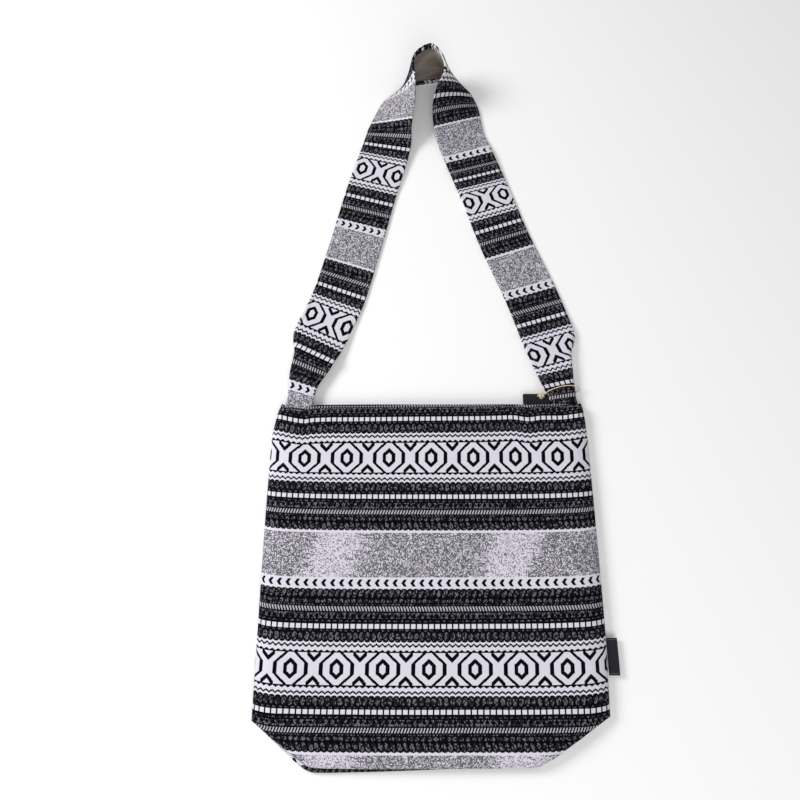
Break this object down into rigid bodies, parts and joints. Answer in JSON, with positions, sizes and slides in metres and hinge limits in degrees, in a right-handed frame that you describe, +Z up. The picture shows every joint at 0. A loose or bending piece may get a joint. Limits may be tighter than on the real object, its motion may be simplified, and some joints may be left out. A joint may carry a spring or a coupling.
{
  "type": "carryall bag",
  "caption": "Soft woven shoulder carryall with a folded boxed base and one wide lined strap, lying flat on its back.",
  "frame": {"origin": "middle of the flat back face, on the floor that the bag lies on", "axes": "+X across the bag to its label side, +Y from the base to the mouth and strap, +Z up through the front"},
  "size_m": [0.3708, 0.8547, 0.0611],
  "materials": {
    "jacquard": "black and lilac-white banded cotton jacquard weave",
    "strap_jacquard": "the same banded jacquard, edges turned under and topstitched",
    "lining_twill": "plain taupe lining cloth",
    "strap_twill": "plain taupe backing cloth, lightly creased",
    "label_satin": "black woven satin label, blank",
    "tag_card": "matt black card",
    "twine": "thin twisted cream cotton string"
  },
  "bodies": {
    "root": {"front_panel": "jacquard", "back_panel": "jacquard", "lining_front": "lining_twill", "lining_back": "lining_twill", "strap_outer": "strap_jacquard", "strap_lining": "strap_twill", "side_label": "label_satin", "swing_tag": "tag_card", "tag_string": "twine", "tag_knot": "twine"}
  },
  "joints": []
}
